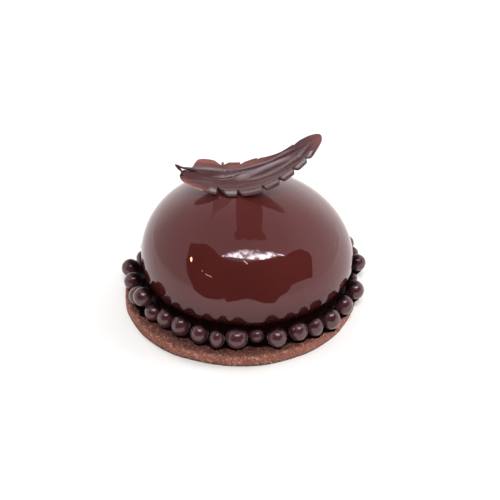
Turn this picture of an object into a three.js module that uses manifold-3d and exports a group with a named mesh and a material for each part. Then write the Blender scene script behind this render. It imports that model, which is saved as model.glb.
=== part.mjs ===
// A glazed chocolate mousse cake: a leaning dome of mousse under a mirror glaze stands on a
// round cocoa biscuit. Crisp chocolate pearls lie round its foot, and a chocolate feather,
// curved like the knife blade that made it, rests on its crown.
//
// Millimetres, +Z up. The origin is the middle of the biscuit's flat underside. +X is to the
// right of someone who looks at the cake from its front, and +Y is away from them.

import * as THREE from "three";
import { mergeVertices } from "three/addons/utils/BufferGeometryUtils.js";
import Module from "manifold-3d";

const wasm = await Module();
wasm.setup();

// ---- Driving sizes ----------------------------------------------------------------------

const restingGap = 0.1; // air left where one piece lies on or against another

// Biscuit: cut with an 80 mm ring, and spread in the oven, furthest at the back.
const biscuitRadius = 39.9;
const biscuitThickness = 4;
const biscuitBackSpread = 3.0;
const biscuitFrontSpread = 0.5;
const biscuitWave = 0.12; // how far the baked rim wanders in and out
const biscuitSides = 80;

// Dome: a 70 mm half-sphere mould, with about 1.5 mm of glaze, set a little off centre.
const domeX = 2.58;
const domeY = 3.0;
const domeRadius = 36.1; // at its widest
const domeWidestHeight = 10.2; // above the biscuit
const domeCrown = 26.95; // from its widest to its top
const domeFullness = 1.96; // 2 is an ellipse, less is more pointed
const domeTuck = 1.7; // how far the foot draws in under the widest part
const domeLean = -0.084; // sideways shift for each millimetre above the widest part
const domeFootBevel = 0.8;
const domeSides = 64;
const domeRings = 16;

// Pearls that were laid by hand round the front, from the left side to the right side:
// direction from the middle of the dome's foot in degrees, distance in millimetres, width,
// height, and how far the pearl is lifted where it lies on its neighbours or on glaze.
const laidPearls = [
  [167.2, 36.8, 5.3, 5.4, 0],
  [178.2, 40.7, 6.4, 6.5, 0],
  [189.5, 39.7, 6.1, 6.3, 0],
  [202.7, 39.7, 6.4, 6.6, 0],
  [211.0, 40.1, 6.3, 6.7, 3.4],
  [217.6, 39.1, 5.6, 5.8, 0],
  [226.1, 38.4, 5.8, 6.6, 0],
  [235.8, 38.5, 6.0, 6.8, 0],
  [246.3, 38.9, 5.9, 6.3, 0],
  [255.3, 39.7, 4.8, 6.4, 0],
  [264.2, 38.5, 6.8, 7.0, 0],
  [273.6, 36.0, 4.4, 4.8, 0.7],
  [282.7, 39.2, 6.3, 6.7, 0],
  [293.6, 38.5, 6.1, 6.4, 0],
  [302.1, 39.3, 5.1, 6.6, 0],
  [311.2, 39.7, 6.3, 7.2, 0],
  [324.4, 38.3, 6.1, 7.0, 0],
  [338.9, 38.0, 6.4, 6.6, 0],
  [351.3, 36.1, 3.2, 4.0, 0],
  [363.7, 38.4, 6.2, 6.4, 0],
  [373.1, 37.6, 5.6, 5.7, 0],
  [383.1, 39.0, 6.0, 6.0, 0],
];

// Pearls round the back, close against the glaze, evenly spread with small chances.
const backPearlCount = 13;
const backPearlDiameter = 5.9;
const backPearlSpread = 0.35; // in diameter, each way
const backPearlSlack = 0.6; // most air between pearl and glaze
const backPearlShift = 0.5; // degrees, each way
const pearlUnevenness = 0.035; // share of the radius, each way
const pearlClearance = 0.2; // between the roundest pearl and the glaze
const touchingSteps = 24;
const pearlDetail = 2;
const pearlSeed = 20;

// Feather: a leaf of chocolate whose spine is one Bezier curve over the crown, from the quill
// end on the left to the tip that rises free on the right.
const featherSpine = new THREE.CubicBezierCurve3(
  new THREE.Vector3(-17.8, 4.6, 45.55),
  new THREE.Vector3(-1.2, 4.6, 44.55),
  new THREE.Vector3(0.2, 4.6, 40.65),
  new THREE.Vector3(26.6, 4.6, 57.05),
);
const featherLength = 47.5;
const featherThickness = 1.1;
const featherBackThickness = 0.7;
// Widths at places evenly along it, from the root to the tip.
const featherFrontWidths = [2.8, 6.4, 9.1, 10.5, 10.8, 11.1, 11.6, 11.9, 11.4, 10.4, 9.0, 7.1];
const featherBackWidths = [0.2, 4.1, 4.9, 4.3, 4.0, 3.8, 3.5, 3.7, 2.7, 2.2, 3.3, 4.9];
const featherTilt = THREE.MathUtils.degToRad(24); // of the cross-section at the spine
const featherCurl = THREE.MathUtils.degToRad(1.6); // more tilt for each millimetre back
const featherRootLean = 0.9; // how far the ribs of the root end lean back
const featherRootPower = 8;
const featherRootRound = 40; // the higher, the blunter the end
const featherTipRound = 14;
const featherEnd = 0.0006; // the outline's ends stop this short of a point

// Nicks cut into the feather's edges: share of the length at which the nick has its steep
// side, depth, and width toward the tip in millimetres, or toward the root if less than 0.
const frontNicks = [
  [0.294, 2.2, 2.6],
  [0.458, 1.6, 1.5],
  [0.656, 2.0, 1.4],
  [0.765, 2.0, 1.4],
  [0.85, 1.6, 1.3],
  [0.917, 1.8, 1.2],
];
const backNicks = [
  [0.306, 1.2, -3.0],
  [0.336, 1.0, 2.3],
  [0.507, 0.8, 2.2],
  [0.66, 0.4, 1.4],
  [0.885, 0.5, 1.4],
];
const nickWall = 0.0015; // share of the length that the steep side of a nick takes
const featherColumns = 44;
const featherFrontRows = 6;
const featherBackRows = 3;

// Quill: the bare end of the spine, a short bent thorn.
const quillLength = 5.0;
const quillRadius = 1.15;
const quillTipRadius = 0.15;
const quillRise = THREE.MathUtils.degToRad(10);
const quillBend = 2.3; // how far its tip hooks up
const quillSides = 8;
const quillRings = 4;
const quillStart = new THREE.Vector3(-15.9, 4.6, 44.65);

// Colours and finishes.
const glazeFinish = new THREE.MeshStandardMaterial({ color: 0x4a1f1a, roughness: 0.08, metalness: 0 });
const biscuitFinish = new THREE.MeshStandardMaterial({ color: 0x84493a, roughness: 0.95, metalness: 0 });
const pearlFinish = new THREE.MeshStandardMaterial({ color: 0x3d2523, roughness: 0.35, metalness: 0 });
const featherFinish = new THREE.MeshStandardMaterial({ color: 0x4f302c, roughness: 0.45, metalness: 0 });

// ---- Helpers ----------------------------------------------------------------------------

// A row of repeatable draws between 0 and 1 (the mulberry32 generator).
function seededDraws(seed) {
  let state = seed >>> 0;
  return () => {
    state = (state + 0x6d2b79f5) >>> 0;
    let bits = Math.imul(state ^ (state >>> 15), 1 | state);
    bits = (bits + Math.imul(bits ^ (bits >>> 7), 61 | bits)) ^ bits;
    return ((bits ^ (bits >>> 14)) >>> 0) / 4294967296;
  };
}

// Turns [radius, height] pairs about +Z.
function turned(profile, sides) {
  const points = profile.map(([radius, height]) => new THREE.Vector2(radius, height));
  const geometry = new THREE.LatheGeometry(points, sides);
  geometry.rotateX(Math.PI / 2);
  return geometry;
}

// Moves every corner of a geometry by a function of its place.
function reshape(geometry, move) {
  const corners = geometry.getAttribute("position");
  const corner = new THREE.Vector3();
  for (let i = 0; i < corners.count; i += 1) {
    corner.fromBufferAttribute(corners, i);
    move(corner);
    corners.setXYZ(i, corner.x, corner.y, corner.z);
  }
  geometry.computeVertexNormals();
  return geometry;
}

function namedMesh(name, geometry, finish) {
  const mesh = new THREE.Mesh(geometry, finish);
  mesh.name = name;
  return mesh;
}

// A smooth (Catmull-Rom) value at a share of the way along evenly spaced stations.
function alongStations(stations, share) {
  const last = stations.length - 1;
  const place = THREE.MathUtils.clamp(share, 0, 1) * last;
  const i = Math.min(Math.floor(place), last - 1);
  const f = place - i;
  const before = i > 0 ? stations[i - 1] : 2 * stations[0] - stations[1];
  const after = i < last - 1 ? stations[i + 2] : 2 * stations[last] - stations[last - 1];
  const here = stations[i];
  const next = stations[i + 1];
  const linear = (next - before) * f;
  const square = (2 * before - 5 * here + 4 * next - after) * f * f;
  const cube = (3 * here - before - 3 * next + after) * f * f * f;
  return 0.5 * (2 * here + linear + square + cube);
}

function toManifold(geometry) {
  const bare = geometry.clone();
  bare.deleteAttribute("normal");
  bare.deleteAttribute("uv");
  const merged = mergeVertices(bare);
  const vertProperties = new Float32Array(merged.getAttribute("position").array);
  const triVerts = new Uint32Array(merged.index.array);
  return new wasm.Manifold(new wasm.Mesh({ numProp: 3, vertProperties, triVerts }));
}

function fromManifold(solid) {
  const mesh = solid.getMesh();
  const geometry = new THREE.BufferGeometry();
  geometry.setAttribute("position", new THREE.Float32BufferAttribute(mesh.vertProperties, 3));
  geometry.setIndex(new THREE.Uint32BufferAttribute(mesh.triVerts, 1));
  geometry.computeVertexNormals();
  return geometry;
}

// ---- Biscuit ----------------------------------------------------------------------------

// How far the rim reaches in a direction: a circle, the spread at back and front, and a slow
// wave.
function biscuitReach(angle) {
  const away = Math.sin(angle);
  const spread = (away > 0 ? biscuitBackSpread : biscuitFrontSpread) * away * away;
  const wave = Math.sin(5 * angle + 1.1) + 0.7 * Math.sin(9 * angle + 2.6) + 0.4 * Math.sin(17 * angle);
  return biscuitRadius + spread + biscuitWave * wave;
}

function makeBiscuit() {
  const r = biscuitRadius;
  const t = biscuitThickness;
  const profile = [
    [0, 0],
    [r - 0.35, 0],
    [r, 0.35],
    [r, 1.1],
    [r - 0.05, t - 1.1],
    [r - 0.35, t - 0.3],
    [r - 1.0, t],
    [0, t],
  ];
  return reshape(turned(profile, biscuitSides), (corner) => {
    const stretch = biscuitReach(Math.atan2(corner.y, corner.x)) / biscuitRadius;
    corner.x *= stretch;
    corner.y *= stretch;
  });
}

// ---- Dome -------------------------------------------------------------------------------

// Radius of the dome below its widest part: it draws in and stands upright again at the foot.
function domeFootRadius(height) {
  const below = Math.max(0, (domeWidestHeight - height) / domeWidestHeight);
  return domeRadius - domeTuck * below * below * (3 - 2 * below);
}

function makeDome() {
  const foot = domeFootRadius(0);
  const profile = [
    [0, 0],
    [foot - domeFootBevel, 0],
    [foot - domeFootBevel * 0.25, domeFootBevel * 0.3],
  ];
  for (const height of [domeFootBevel, 2.2, 4, 6, 8]) {
    profile.push([domeFootRadius(height), height]);
  }
  for (let ring = 0; ring < domeRings; ring += 1) {
    const turn = (ring / domeRings) * (Math.PI / 2);
    const radius = domeRadius * Math.cos(turn) ** (2 / domeFullness);
    const rise = domeCrown * Math.sin(turn) ** (2 / domeFullness);
    profile.push([radius, domeWidestHeight + rise]);
  }
  profile.push([0, domeWidestHeight + domeCrown]);
  return reshape(turned(profile, domeSides), (corner) => {
    corner.x += domeLean * Math.max(0, corner.z - domeWidestHeight);
  });
}

// ---- Pearls -----------------------------------------------------------------------------

// How far from the middle of the dome a pearl on the biscuit touches the glaze: the furthest
// that the dome and the pearl reach together at any height of the pearl.
function touchingDistance(width, height) {
  let furthest = 0;
  for (let step = 0; step <= touchingSteps; step += 1) {
    const share = step / touchingSteps;
    const reach = width * Math.sqrt(share * (1 - share));
    furthest = Math.max(furthest, domeFootRadius(height * share) + reach);
  }
  return furthest + pearlClearance;
}

// The whole ring, as [direction, distance, width, height, lift].
function pearlRing(draw) {
  const ring = laidPearls.map(([direction, distance, width, height, lift]) => {
    const clear = Math.max(distance, touchingDistance(width, height));
    return [direction, clear, width, height, lift];
  });
  const first = laidPearls[laidPearls.length - 1][0] - 360;
  const last = laidPearls[0][0];
  for (let i = 1; i <= backPearlCount; i += 1) {
    const even = first + ((last - first) * i) / (backPearlCount + 1);
    const direction = even + backPearlShift * (2 * draw() - 1);
    const diameter = backPearlDiameter + backPearlSpread * (2 * draw() - 1);
    const distance = touchingDistance(diameter, diameter) + backPearlSlack * draw();
    ring.push([direction, distance, diameter, diameter, 0]);
  }
  return ring;
}

// A slightly uneven ball, turned any way, then drawn up to its height, with its lowest point
// on z = 0.
function makePearl(width, height, draw) {
  const geometry = new THREE.IcosahedronGeometry(width / 2, pearlDetail);
  const uneven = () => 1 + pearlUnevenness * (2 * draw() - 1);
  const squash = new THREE.Matrix4().makeScale(uneven(), uneven(), uneven());
  const turns = new THREE.Euler(Math.PI * draw(), Math.PI * draw(), Math.PI * draw());
  geometry.applyMatrix4(squash);
  geometry.applyMatrix4(new THREE.Matrix4().makeRotationFromEuler(turns));
  geometry.scale(1, 1, height / width);
  geometry.computeBoundingBox();
  geometry.translate(0, 0, -geometry.boundingBox.min.z);
  return geometry;
}

// ---- Feather ----------------------------------------------------------------------------

// Both ends of the leaf are round: 0 at the very end, 1 a little way in.
function endRounding(share) {
  const tip = Math.max(0, 1 - share ** featherTipRound);
  const root = Math.max(0, 1 - (1 - share) ** featherRootRound);
  return Math.sqrt(tip * root);
}

// A nick has one steep side, then the edge comes back out in a curve.
function nickDepth(nicks, share) {
  let depth = 0;
  for (const [at, deep, wide] of nicks) {
    const into = ((share - at) * featherLength) / wide;
    if (into >= 0 && into < 1) {
      depth += deep * (1 - into) ** 1.5;
    }
  }
  return depth;
}

function featherWidth(stations, nicks, share) {
  const width = alongStations(stations, share) - nickDepth(nicks, share);
  return Math.max(0.05, width * endRounding(share));
}

// The corners of the upper and lower face at a share of the length and a distance across,
// measured from the spine, less than 0 toward the front. The cross-section is an arc.
function featherCorners(share, across, thickness) {
  const lean = (featherRootLean * Math.max(0, -across)) / featherLength;
  const slid = share - lean * (1 - share) ** featherRootPower;
  const spine = featherSpine.getPoint(slid);
  const forward = featherSpine.getTangent(Math.max(0, slid));
  const sideways = new THREE.Vector3(0, 0, 1).cross(forward).normalize();
  const upward = forward.clone().cross(sideways);
  const tilt = featherTilt + featherCurl * across;
  const upper = spine.clone();
  upper.addScaledVector(sideways, (Math.sin(tilt) - Math.sin(featherTilt)) / featherCurl);
  upper.addScaledVector(upward, (Math.cos(featherTilt) - Math.cos(tilt)) / featherCurl);
  const lower = upper.clone();
  lower.addScaledVector(sideways, thickness * Math.sin(tilt));
  lower.addScaledVector(upward, -thickness * Math.cos(tilt));
  return [upper, lower];
}

function featherShares() {
  const shares = new Set();
  for (let i = 0; i <= featherColumns; i += 1) {
    const even = 0.5 - 0.5 * Math.cos((Math.PI * i) / featherColumns);
    shares.add(THREE.MathUtils.clamp(even, featherEnd, 1 - featherEnd));
  }
  for (const [at, , wide] of [...frontNicks, ...backNicks]) {
    const span = wide / featherLength;
    for (const place of [at - Math.sign(wide) * nickWall, at, at + span * 0.35, at + span]) {
      shares.add(place);
    }
  }
  const sorted = [...shares].sort((a, b) => a - b);
  return sorted.filter((share, i) => i === 0 || share - sorted[i - 1] > nickWall * 0.9);
}

// A thin closed leaf: an upper and a lower face with the same rows, and a wall round them.
function makeBlade() {
  const rows = featherFrontRows + featherBackRows;
  const shares = featherShares();
  const upper = [];
  const lower = [];
  for (const share of shares) {
    const front = featherWidth(featherFrontWidths, frontNicks, share);
    const back = featherWidth(featherBackWidths, backNicks, share);
    for (let row = 0; row <= rows; row += 1) {
      const fromSpine = row - featherFrontRows;
      const toFront = fromSpine < 0;
      const across = toFront ? (front * fromSpine) / featherFrontRows : (back * fromSpine) / featherBackRows;
      const thin = toFront ? 0 : fromSpine / featherBackRows;
      const thickness = THREE.MathUtils.lerp(featherThickness, featherBackThickness, thin);
      const [top, bottom] = featherCorners(share, across, thickness);
      upper.push(top);
      lower.push(bottom);
    }
  }
  const at = (column, row) => column * (rows + 1) + row;
  const below = upper.length;
  const index = [];
  const quad = (a, b, c, d) => index.push(a, b, c, a, c, d);
  const last = shares.length - 1;
  for (let column = 0; column < last; column += 1) {
    for (let row = 0; row < rows; row += 1) {
      const corners = [at(column, row), at(column + 1, row), at(column + 1, row + 1), at(column, row + 1)];
      const [a, b, c, d] = corners;
      index.push(a, b, c, a, c, d);
      index.push(below + a, below + c, below + b, below + a, below + d, below + c);
    }
    quad(at(column, 0), below + at(column, 0), below + at(column + 1, 0), at(column + 1, 0));
    quad(at(column + 1, rows), below + at(column + 1, rows), below + at(column, rows), at(column, rows));
  }
  for (let row = 0; row < rows; row += 1) {
    quad(at(0, row + 1), below + at(0, row + 1), below + at(0, row), at(0, row));
    quad(at(last, row), below + at(last, row), below + at(last, row + 1), at(last, row + 1));
  }
  const geometry = new THREE.BufferGeometry();
  geometry.setFromPoints([...upper, ...lower]);
  geometry.setIndex(index);
  geometry.computeVertexNormals();
  return geometry;
}

// The quill leaves the blade to the left and hooks up toward its tip.
function makeQuill() {
  const profile = [[0, 0]];
  for (let ring = 0; ring <= quillRings; ring += 1) {
    const share = ring / quillRings;
    profile.push([THREE.MathUtils.lerp(quillRadius, quillTipRadius, share), share * quillLength]);
  }
  profile.push([0, quillLength]);
  const geometry = turned(profile, quillSides);
  reshape(geometry, (corner) => {
    const share = corner.z / quillLength;
    corner.x += quillBend * share * share;
  });
  geometry.rotateY(-Math.PI / 2 + quillRise);
  return geometry.translate(quillStart.x, quillStart.y, quillStart.z);
}

function makeFeather() {
  return fromManifold(toManifold(makeBlade()).add(toManifold(makeQuill())));
}

// ---- The cake ---------------------------------------------------------------------------

const cake = new THREE.Group();

cake.add(namedMesh("cocoa_biscuit", makeBiscuit(), biscuitFinish));

const dome = namedMesh("glazed_mousse", makeDome(), glazeFinish);
dome.position.set(domeX, domeY, biscuitThickness + restingGap);
cake.add(dome);

const draw = seededDraws(pearlSeed);
pearlRing(draw).forEach(([direction, distance, width, height, lift], i) => {
  const number = String(i + 1).padStart(2, "0");
  const pearl = namedMesh(`chocolate_pearl_${number}`, makePearl(width, height, draw), pearlFinish);
  const angle = THREE.MathUtils.degToRad(direction);
  const x = domeX + distance * Math.cos(angle);
  const y = domeY + distance * Math.sin(angle);
  pearl.position.set(x, y, biscuitThickness + restingGap + lift);
  cake.add(pearl);
});

cake.add(namedMesh("chocolate_feather", makeFeather(), featherFinish));

export default cake;
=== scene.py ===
# %% [markdown]
# # A glazed chocolate mousse dome
#
# The cake has four kinds of piece: a baked cocoa biscuit, a dome of mousse under a mirror
# glaze, a ring of polished chocolate pearls, and a chocolate feather. A frame of plain solids
# already says where each piece is and how large it is. This lesson gives every piece its fine
# surface and its finish, then lights it like food on a white table.
#
# The cake's sizes are written in millimetres and turned to metres where a mesh is made. The
# studio's are in metres.

# %% Load the frame
import math

import bpy
import numpy as np
from mathutils import Matrix, Vector


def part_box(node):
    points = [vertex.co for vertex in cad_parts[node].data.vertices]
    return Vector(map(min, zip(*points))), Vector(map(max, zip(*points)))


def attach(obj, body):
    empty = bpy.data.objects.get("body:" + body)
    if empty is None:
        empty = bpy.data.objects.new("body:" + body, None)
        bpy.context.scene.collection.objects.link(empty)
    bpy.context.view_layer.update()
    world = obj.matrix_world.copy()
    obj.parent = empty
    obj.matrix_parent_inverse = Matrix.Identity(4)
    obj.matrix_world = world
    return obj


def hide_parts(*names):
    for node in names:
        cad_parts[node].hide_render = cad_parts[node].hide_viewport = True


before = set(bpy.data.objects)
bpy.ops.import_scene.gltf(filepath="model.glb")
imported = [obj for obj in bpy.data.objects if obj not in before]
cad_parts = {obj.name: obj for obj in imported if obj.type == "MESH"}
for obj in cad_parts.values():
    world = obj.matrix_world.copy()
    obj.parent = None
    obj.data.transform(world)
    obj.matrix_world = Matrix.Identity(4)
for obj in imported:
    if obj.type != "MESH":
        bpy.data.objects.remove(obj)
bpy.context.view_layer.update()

MM = 0.001
scene = bpy.context.scene
print("solids in the frame:", len(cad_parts))

# %% [markdown]
# ## The camera
#
# The cake is seen from a little above, as a guest sees it. The lens is long, so that the dome
# keeps its true proportions, and the camera is turned by less than a degree, as a hand-held
# one is. The camera looks along its own -Z axis, so its three axes are written out as the
# columns of a matrix: right, up and back.

# %% Place the camera
CAMERA_TARGET = Vector((0.0, 0.0, 20.0)) * MM
CAMERA_DISTANCE = 300 * MM
CAMERA_ELEVATION = math.radians(33.0)
CAMERA_ROLL = math.radians(0.92)
CAMERA_LENS = 64.13
CAMERA_SHIFT = (0.0210, -0.0154)


def place_camera():
    """The camera stands at target + distance * back, and its right and up axes are turned
    by the roll about the line of sight."""
    back = Vector((0.0, -math.cos(CAMERA_ELEVATION), math.sin(CAMERA_ELEVATION)))
    right = Vector((1.0, 0.0, 0.0))
    up = back.cross(right)
    rolled_right = right * math.cos(CAMERA_ROLL) - up * math.sin(CAMERA_ROLL)
    rolled_up = right * math.sin(CAMERA_ROLL) + up * math.cos(CAMERA_ROLL)
    lens = bpy.data.cameras.new("camera")
    lens.lens = CAMERA_LENS
    lens.sensor_width = 36.0
    lens.shift_x, lens.shift_y = CAMERA_SHIFT
    lens.clip_start = 0.01
    camera = bpy.data.objects.new("camera", lens)
    scene.collection.objects.link(camera)
    axes = Matrix((rolled_right, rolled_up, back)).transposed()
    camera.matrix_world = Matrix.Translation(CAMERA_TARGET + back * CAMERA_DISTANCE) @ axes.to_4x4()
    bpy.context.scene.camera = camera
    return camera


camera = place_camera()
print("camera at", [round(v, 3) for v in camera.matrix_world.translation])

# %% [markdown]
# ## Helpers for materials and objects
#
# Colours are easiest to pick as sRGB hex values, the way a paint program shows them. Blender
# calculates in linear light, so one function turns a hex value to linear numbers. Another
# adds one node to a material, sets its settings and sockets, and links its inputs. The last
# one makes an object of points and faces.

# %% Colours, nodes and objects
RGBA = {"data_type": "RGBA"}
MULTIPLY = {"operation": "MULTIPLY"}


def linear(hex_colour):
    """Each channel c of an sRGB hex colour becomes c/12.92 below 0.04045 and
    ((c + 0.055)/1.055)^2.4 above."""
    channels = [int(hex_colour[i:i + 2], 16) / 255 for i in (1, 3, 5)]
    straight = [c / 12.92 if c <= 0.04045 else ((c + 0.055) / 1.055) ** 2.4 for c in channels]
    return (*straight, 1.0)


def add_node(tree, kind, settings=None, **inputs):
    """Adds a node, its kind named without ShaderNode. Settings are attributes. An input has
    its socket's name with _ for a space, or i and its number, and is a value, a socket to
    link, or a node, whose first live output is linked."""
    node = tree.nodes.new("ShaderNode" + kind)
    for name, value in (settings or {}).items():
        setattr(node, name, value)
    for name, value in inputs.items():
        socket = node.inputs[int(name[1:]) if name[1:].isdigit() else name.replace("_", " ")]
        if isinstance(value, bpy.types.Node):
            value = next(output for output in value.outputs if output.enabled)
        if isinstance(value, bpy.types.NodeSocket):
            tree.links.new(value, socket)
        else:
            socket.default_value = value
    return node


def new_material(name):
    """A material and its empty node tree."""
    material = bpy.data.materials.new(name)
    material.use_nodes = True
    material.node_tree.nodes.clear()
    return material, material.node_tree


def new_object(name, points, faces, material):
    """A mesh object at the origin, with its points in metres."""
    mesh = bpy.data.meshes.new(name)
    mesh.from_pydata(points, [], faces)
    mesh.materials.append(material)
    thing = bpy.data.objects.new(name, mesh)
    scene.collection.objects.link(thing)
    return thing


# %% [markdown]
# ## The white table
#
# The floor is matt white card. It is so large that its edge never shows, and its far parts
# glow a little, so no dark line shows in the glaze where it meets the white walls.

# %% Make the floor
FLOOR_HALF = 3.0
GLOW_FROM, GLOW_TO, FAR_GLOW = 0.35, 1.4, 0.35


def make_floor():
    """One square of white card at z = 0, whose glow grows with the distance from the cake."""
    material, tree = new_material("matt white card")
    card = add_node(tree, "BsdfDiffuse", Color=linear("#f1f0ef"))
    place = add_node(tree, "TexCoord").outputs["Object"]
    distance = add_node(tree, "VectorMath", {"operation": "LENGTH"}, i0=place)
    far = add_node(tree, "MapRange", i0=distance, i1=GLOW_FROM, i2=GLOW_TO, i4=FAR_GLOW)
    glow = add_node(tree, "Emission", Strength=far)
    both = add_node(tree, "AddShader", i0=card, i1=glow)
    add_node(tree, "OutputMaterial", Surface=both)
    h = FLOOR_HALF
    floor = new_object("floor", [(-h, -h, 0), (h, -h, 0), (h, h, 0), (-h, h, 0)], [(0, 1, 2, 3)], material)


make_floor()
print("floor, metres across:", 2 * FLOOR_HALF)

# %% [markdown]
# ## The studio
#
# A mirror glaze shows the room more than it shows itself, so the room is built on purpose.
# White walls all round give the pale sheen on the flanks, and the ceiling is a little darker.
# In front, where a photographer stands, a dark flag gives the deep brown band across the
# dome, and a long bright window above it gives the one highlight. Three soft lights, one of
# them at the window, light the matt surfaces.

# %% Light the white room
ROOM_BRIGHTNESS = 1.02
ROOM_STOPS = [(-1.0, 1.0), (0.0, 0.98), (0.35, 0.92), (0.70, 0.83), (0.90, 0.70), (1.0, 0.62)]
ROOM_RIGHT_GAIN = 0.14
ROOM_BACK_GAIN = 0.45


def light_world():
    """The height z of the direction, from -1 to 1, goes through a smooth ramp of shares of
    the brightness, times 1 + gain * x, as the real room is lighter on its right, plus the
    back gain where y is near 1, for the white wall behind the cake."""
    world = bpy.data.worlds.new("white room")
    scene.world = world
    world.use_nodes = True
    tree = world.node_tree
    tree.nodes.clear()
    direction = add_node(tree, "TexCoord").outputs["Generated"]
    split = add_node(tree, "SeparateXYZ", Vector=direction)
    height = add_node(tree, "MapRange", i0=split.outputs["Z"], i1=-1.0)
    ramp = add_node(tree, "ValToRGB", Fac=height)
    ramp.color_ramp.interpolation = "B_SPLINE"
    elements = ramp.color_ramp.elements
    while len(elements) < len(ROOM_STOPS):
        elements.new(0.5)
    for element, (z, share) in zip(elements, ROOM_STOPS):
        element.position = (z + 1) / 2
        element.color = (share, share, share, 1.0)
    back = add_node(tree, "MapRange", {"interpolation_type": "SMOOTHSTEP"}, i0=split.outputs["Y"],
                    i1=0.5, i2=0.9, i3=ROOM_BRIGHTNESS, i4=ROOM_BRIGHTNESS + ROOM_BACK_GAIN)
    side = add_node(tree, "Math", {"operation": "MULTIPLY_ADD"}, i0=split,
                    i1=ROOM_BRIGHTNESS * ROOM_RIGHT_GAIN, i2=back)
    background = add_node(tree, "Background", Color=ramp, Strength=side)
    add_node(tree, "OutputWorld", Surface=background)


light_world()
print("world:", scene.world.name)

# %% Hang the soft lights
# Each light: place and size in metres, and power in watts.
SOFT_LIGHTS = {
    "side light": ((1.00, 0.35, 0.80), 0.7, 7.5),
    "back light": ((-0.70, 0.80, 0.75), 0.5, 4.0),
    "window light": ((0.05, -0.59, 0.91), 0.3, 7.0),
}


def soft_light(name, place, size, watts):
    """A square area light that points at the cake and isn't mirrored in it."""
    data = bpy.data.lights.new(name, "AREA")
    data.size = size
    data.energy = watts
    light = bpy.data.objects.new(name, data)
    scene.collection.objects.link(light)
    place = Vector(place)
    turn = (place - CAMERA_TARGET).to_track_quat("Z", "Y").to_matrix().to_4x4()
    light.matrix_world = Matrix.Translation(place) @ turn
    light.visible_glossy = False
    light.visible_camera = False


for light_name, settings in SOFT_LIGHTS.items():
    soft_light(light_name, *settings)
print("lights:", len(bpy.data.lights))

# %% [markdown]
# The flags and the window are patches of a big sphere round the cake, given by their low and
# high edges at a row of azimuths. Where the dark band runs down onto the table, a black card
# lies there. The camera never sees any of them. The front flag also shades the cake; the rest
# shows in glossy surfaces alone.

# %% Helpers for flags and windows
STUDIO_RADIUS = 1.1
CEILING = 1.1


def hang(piece, shades_room=False):
    """Hides a studio piece from the camera, and from matt surfaces unless it is told not to."""
    piece.visible_camera = False
    piece.visible_diffuse = shades_room
    piece.visible_shadow = shades_room
    piece.visible_transmission = False
    piece.visible_volume_scatter = False


def glow_material(name, colour, strength):
    """A plain emitter, which at strength 0 is a black flag."""
    material, tree = new_material(name)
    shader = add_node(tree, "Emission", Color=linear(colour), Strength=strength)
    add_node(tree, "OutputMaterial", Surface=shader)
    return material


def grid_faces(rows, columns, ring=True, closed=False):
    """Quads of a grid of points: corner (i, j) joins (i, j + 1), (i + 1, j + 1) and
    (i + 1, j). In rings j is counted round, and so is i if the grid is closed."""
    i, j = np.meshgrid(np.arange(rows if closed else rows - 1), np.arange(columns if ring else columns - 1),
                       indexing="ij")
    k, n = (j + 1) % columns, (i + 1) % rows
    quads = np.stack([i * columns + j, i * columns + k, n * columns + k, n * columns + j], axis=-1)
    return quads.reshape(-1, 4)


def paint_points(piece, name, values):
    """Stores one number for each point as an attribute that the material reads."""
    attribute = piece.data.attributes.new(name, "FLOAT", "POINT")
    attribute.data.foreach_set("value", np.asarray(values, dtype=np.float32))


def sky_patch(name, edges, material, radius=STUDIO_RADIUS, columns=120, rows=12, shades_room=False):
    """Azimuth 0 is toward the camera and 90 to the right. Each edge row is azimuth, low and
    high elevation; a point is radius * (cos e sin a, -cos e cos a, sin e). The attribute
    rise goes from 0 at the low edge to 1 at the high one."""
    azimuths, lows, highs = np.array(edges, dtype=float).T
    a = np.linspace(azimuths[0], azimuths[-1], columns)
    low, high = np.interp(a, azimuths, lows), np.interp(a, azimuths, highs)
    share = np.linspace(0.0, 1.0, rows)[:, None]
    e = np.radians(low + (high - low) * share)
    a = np.radians(a)[None, :]
    points = np.stack([np.cos(e) * np.sin(a), -np.cos(e) * np.cos(a), np.sin(e) + 0 * a], axis=-1) * radius
    faces = grid_faces(rows, columns, ring=False)
    patch = new_object(name, points.reshape(-1, 3).tolist(), faces.tolist(), material)
    paint_points(patch, "rise", np.repeat(share, columns))
    hang(patch, shades_room)


def flat_card(name, outline, height, material):
    """A flat card with the given corners, all at one height, in metres."""
    corners = [(x, y, height) for x, y in outline]
    hang(new_object(name, corners, [tuple(range(len(corners)))], material))


# %% Hang the dark flags
black = glow_material("black flag", "#000000", 0.0)
dusk = glow_material("dark ceiling", "#ffffff", 0.13)
shade = glow_material("grey ceiling", "#ffffff", 0.34)
FRONT_FLAG = [
    (-86, 44.5, 44.7), (-80, 39, 49.9), (-75.5, 34.9, 54.6), (-71.2, 26.9, 57.3), (-65.2, 17.9, 57.5),
    (-60, 10.4, 57.7), (-55.5, 4.3, 57.8), (-52, -2, 57.6), (-35.4, -2, 54.2), (-12.8, -2, 53.3),
    (9.5, -2, 54.0), (31, -2, 52.6), (40.6, 3.7, 51.5), (46.2, 11.7, 50.8), (53.7, 12.1, 49.8),
    (62.1, 11.0, 47.5), (70.4, 8.2, 46.0), (75.8, 18.0, 45.0), (83.8, 26.2, 40.1), (86.7, 32.6, 32.8),
]
sky_patch("front flag", FRONT_FLAG, black, columns=240, shades_room=True)
TABLE_CARD = [
    (-1.40, -1.00), (-0.209, -0.172), (-0.083, -0.102), (-0.063, -0.101), (-0.060, -0.131), (-0.099, -0.264),
    (-0.036, -0.120), (-0.020, -0.450), (0.0, -1.20), (0.042, -0.784), (0.036, -0.213), (0.034, -0.123),
    (0.044, -0.101), (0.372, -0.595), (0.90, -1.40), (-1.40, -1.40),
]
flat_card("table flag", TABLE_CARD, 0.0006, black)
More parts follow.
